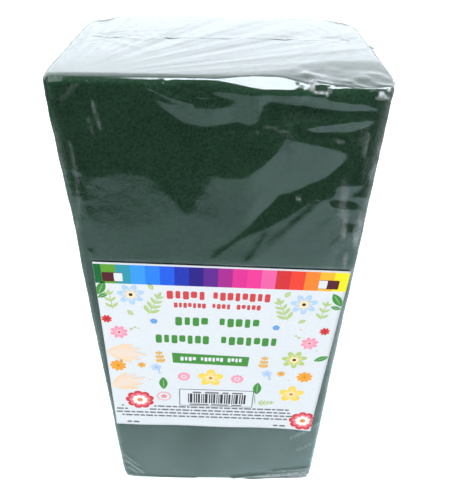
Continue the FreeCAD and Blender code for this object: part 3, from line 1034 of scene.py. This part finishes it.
def floor_material():
    """Pale ground; in the film's reflections it ends a little way from the brick."""
    n = new_material("stage_floor")
    path = n.add("LightPath")
    pale = n.add("BsdfDiffuse", Color=(0.9, 0.9, 0.9, 1)).outputs[0]
    glow = n.span(path.outputs["Is Camera Ray"], start=0.48, end=0.80)
    lit = n.add("Emission", Color=(1, 1, 1, 1), Strength=glow).outputs[0]
    ground = n.joined(n.add("AddShader"), pale, lit)
    x, y, _ = n.add("SeparateXYZ", Vector=n.add("NewGeometry").outputs["Position"]).outputs
    away = n.maths("MAXIMUM", n.maths("ABSOLUTE", x), n.maths("ABSOLUTE", y))
    end = -WHITE_REACH * MM
    strength = n.maths("MULTIPLY", n.span(away, 0.04, 0.6, 1.12, 0.22),
                       n.span(y, end - 0.01, end + 0.02, 0.06, 1.0))
    strength = n.maths("MULTIPLY", strength, n.span(x, 0.0, 0.12, 1.0, 1.6))
    strength = n.maths("MULTIPLY", strength, n.span(n.grain(18, 3), start=0.84, end=1.14))
    mirrored = n.add("Emission", Color=(0.70, 0.94, 1.0, 1), Strength=strength).outputs[0]
    return n.done(n.mix_shaders(path.outputs["Is Glossy Ray"], ground, mirrored))


def set_world():
    """White surroundings.  The film mirrors them bright behind the brick and dim in front,
    with a soft box high up in front and a strip light at each side."""
    world = bpy.data.worlds.new("studio")
    bpy.context.scene.world = world
    n = Nodes(world)
    rays = n.add("LightPath").outputs
    x, y, z = n.add("SeparateXYZ", Vector=n.add("TexCoord").outputs["Generated"]).outputs
    surround = n.maths("MULTIPLY", n.span(y, -0.3, 0.3, 0.12, 2.35), n.span(z, 0, 0.2, 0.35, 1))
    box = n.maths("MULTIPLY", n.span(y, -0.68, -0.6), n.span(y, -0.24, -0.16, 1, 0))
    box = n.maths("MULTIPLY", box, n.span(x, -0.2, -0.12))
    box = n.maths("MULTIPLY", box, n.span(z, 0.6, 0.7, 0, 13))
    aside = n.maths("ABSOLUTE", x)
    strips = n.maths("MULTIPLY", n.span(aside, 0.34, 0.4), n.span(aside, 0.5, 0.56, 1, 0))
    strips = n.maths("MULTIPLY", strips, n.span(y, -0.2, -0.1, 1.6, 0))
    glow = n.maths("ADD", surround, n.maths("ADD", box, strips))
    white = n.span(rays["Is Camera Ray"], start=0.68, end=1.0)
    plain = n.add("Background", Color=(1, 1, 1, 1), Strength=white).outputs[0]
    mirrored = n.add("Background", Color=(0.86, 0.93, 1.0, 1), Strength=glow).outputs[0]
    n.done(n.mix_shaders(rays["Is Glossy Ray"], plain, mirrored), "OutputWorld")


def area_light(name, place, size, watts):
    """A soft light aimed at the brick, which the film doesn't mirror."""
    light = bpy.data.lights.new(name, "AREA")
    light.energy, light.size = watts, size
    obj = linked(name, light)
    obj.location = place
    obj.visible_glossy = False
    aim = Vector((0, 0, 0.12)) - Vector(place)
    obj.rotation_euler = aim.to_track_quat("-Z", "Y").to_euler()


def make_stage():
    radius, sides, below = 3.0, 64, -0.0003
    angles = [2 * math.pi * i / sides for i in range(sides)]
    ring = [(radius * math.cos(a), radius * math.sin(a), below) for a in angles]
    mesh = bpy.data.meshes.new("floor")
    mesh.from_pydata(ring, [], [list(range(sides))])
    mesh.materials.append(floor_material())
    linked("floor", mesh)
    set_world()
    area_light("soft_key", (-0.5, -0.6, 0.9), 0.6, 5.0)
    area_light("soft_back", (0.25, 0.9, 0.75), 0.5, 3.4)


def make_camera():
    camera = linked("camera", bpy.data.cameras.new("camera"))
    flat = math.cos(PITCH)
    ahead = Vector((math.sin(YAW) * flat, math.cos(YAW) * flat, -math.sin(PITCH)))
    level = Vector((math.cos(YAW), -math.sin(YAW), 0))
    up = level.cross(ahead)
    right = level * math.cos(ROLL) + up * math.sin(ROLL)
    up = up * math.cos(ROLL) - level * math.sin(ROLL)
    turn = Matrix((right, up, -ahead)).transposed()
    camera.matrix_world = Matrix.Translation(Vector(EYE) * MM) @ turn.to_4x4()
    camera.data.sensor_width = 36
    camera.data.lens = LENS
    camera.data.clip_start = 0.01
    bpy.context.scene.camera = camera


# ------ assembly

def place(obj, node, slot):
    """Put a piece on the body, in place of its CAD node; slot is not used."""
    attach(obj, BODY)
    if node:
        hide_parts(node)


# Each weld's piece and node, the axis it runs along, its Y, which way it stands out, its
# width and height, and the seed of its unevenness
WELDS = [
    ("top_weld_bead", "top_end_weld", 0, WELD_Y, (0, 0, 1), 0.8, 0.14, 101),
    ("side_weld_bead", "side_weld", 2, 0.0, (1, 0, 0), 0.9, 1.1, 103),
    ("bottom_weld_strip", "bottom_end_weld", 0, WELD_Y, (0, 0, 1), 1.4, 0.09, 105),
]


def build():
    weld = film_material("film_weld", 0.35, 0.12)
    place(make_foam(foam_material()), "foam_brick", "foam")
    place(make_label(paper_material()), "label_sticker", "label_paper")
    place(make_print(ink_material()), None, "label_paper")
    place(make_film(film_material("clear_film", 0.003)), "shrink_film", "clear_film")
    ears = ("ear_top_right", "ear_top_left", "ear_bottom_right", "ear_bottom_left")
    for i, node in enumerate(ears):
        place(make_ear(node + "_film", node, weld, 90 + 7 * i), node, "film_weld")
    for name, node, axis, y, rise, width, height, seed in WELDS:
        low, high = cad_box(node)
        start = np.array([low[0], y, low[2]])
        end = start.copy()
        end[axis] = high[axis]
        place(make_bead(name, start, end, rise, width, height, weld, seed), node, "film_weld")


build()
make_stage()
make_camera()
bpy.context.scene.view_settings.view_transform = "Standard"
